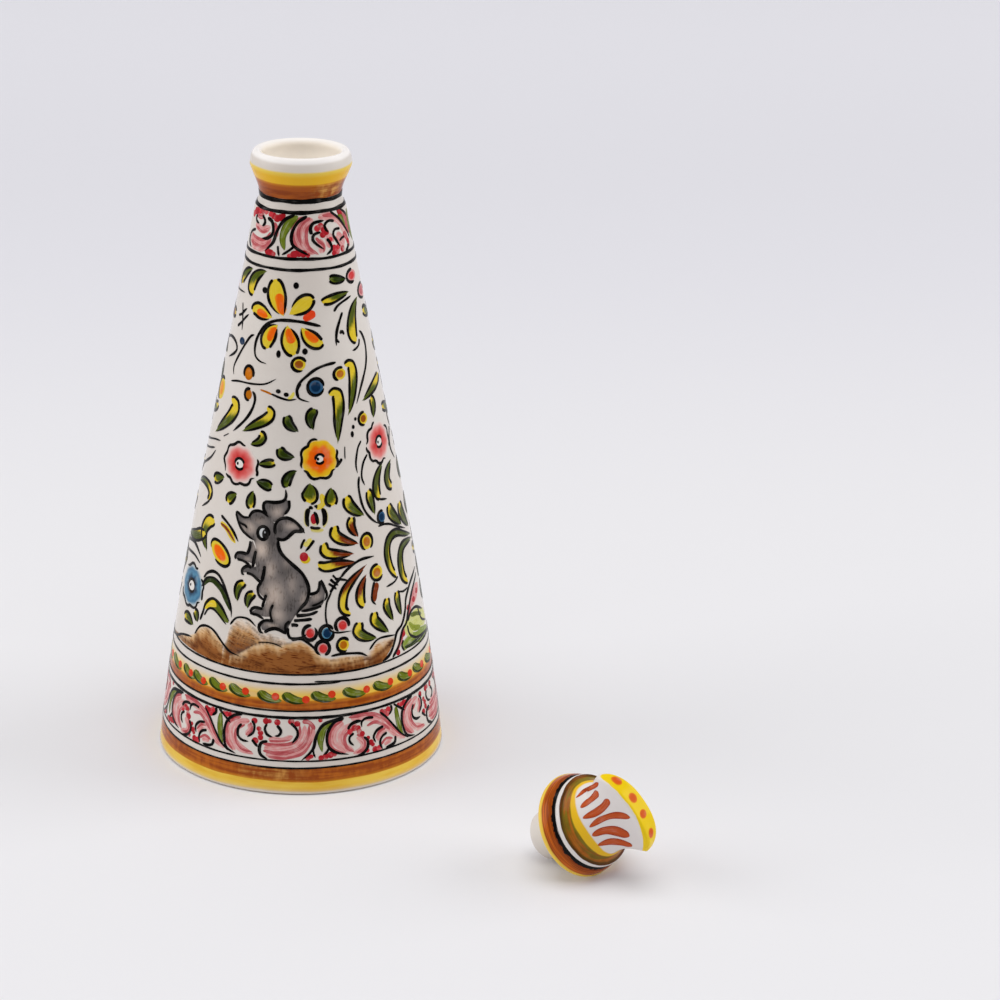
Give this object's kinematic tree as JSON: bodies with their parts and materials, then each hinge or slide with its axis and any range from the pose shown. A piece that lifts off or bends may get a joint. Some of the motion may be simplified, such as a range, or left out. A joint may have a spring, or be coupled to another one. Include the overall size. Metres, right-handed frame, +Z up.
{
  "type": "oil cruet",
  "caption": "Tall conical glazed earthenware oil cruet with a flared lip and a loose stopper whose pinched, fan-shaped knob lies beside it.",
  "frame": {"origin": "centre of the bottle's flat base, on the surface it stands on", "axes": "+Z up along the bottle's axis; the picture is taken from -Y; the stopper lies at +X, -Y"},
  "size_m": [0.1487, 0.1578, 0.1938],
  "materials": {
    "cream_glaze": "glossy cream glaze with painted bands, scrolls, leaves and flowers",
    "banded_glaze": "glossy glaze with painted yellow, brown, black and white rings"
  },
  "bodies": {
    "cruet": {"cruet_body": "cream_glaze"},
    "stopper": {"stopper": "banded_glaze"}
  },
  "joints": [
    {"name": "stopper_lift", "type": "slide", "parent": "cruet", "child": "stopper", "axis": [0, 0, 1], "range_m": [0, 0.24]}
  ]
}
